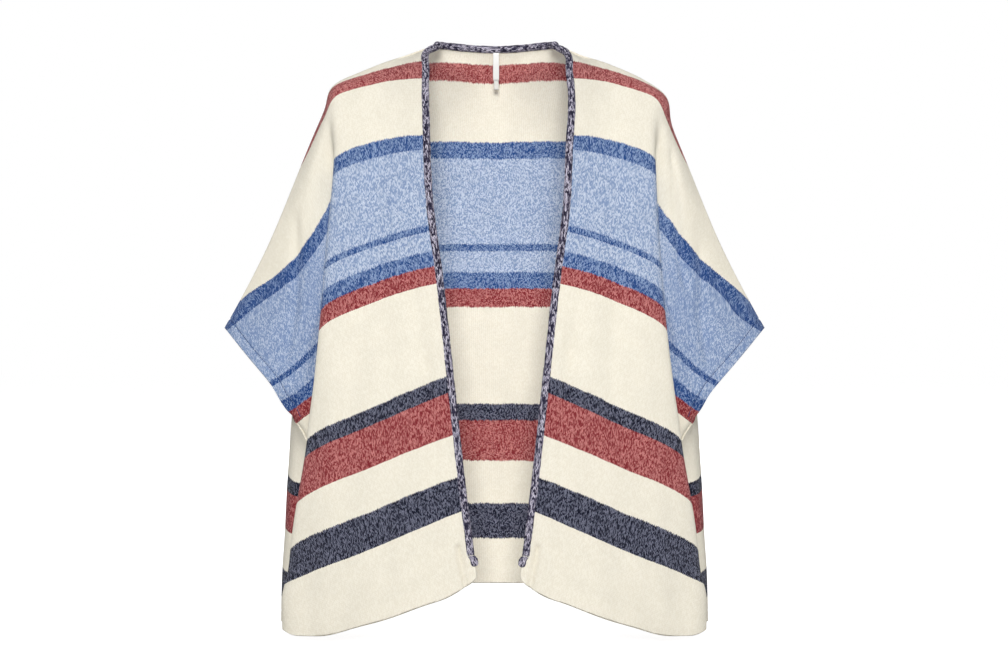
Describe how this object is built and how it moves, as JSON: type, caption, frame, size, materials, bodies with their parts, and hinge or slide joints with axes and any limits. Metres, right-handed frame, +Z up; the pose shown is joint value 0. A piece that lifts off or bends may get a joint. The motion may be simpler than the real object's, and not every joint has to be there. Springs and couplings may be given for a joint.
{
  "type": "knitted open-front poncho sweater, worn form held at the neck",
  "caption": "Hollow worn form of an open-front knitted poncho sweater with short dolman sleeves and a rolled binding.",
  "frame": {"origin": "midway between the two neck points, where the wearer's neck and shoulders hold the garment up", "axes": "+X to the viewer's right as the front is seen, +Y to the back, +Z up"},
  "size_m": [0.724, 0.2802, 0.792],
  "materials": {
    "striped_knit": "napped knit in cream with dusty red, mid blue, pale blue and navy marl stripes",
    "marl_binding": "navy and pale lilac marled rolled knit",
    "label_tape": "smooth woven white tape"
  },
  "bodies": {
    "root": {"back": "striped_knit", "front_left": "striped_knit", "front_right": "striped_knit", "binding": "marl_binding", "binding_end_left": "marl_binding", "binding_end_right": "marl_binding", "neck_label": "label_tape", "size_tab": "label_tape"}
  },
  "joints": []
}
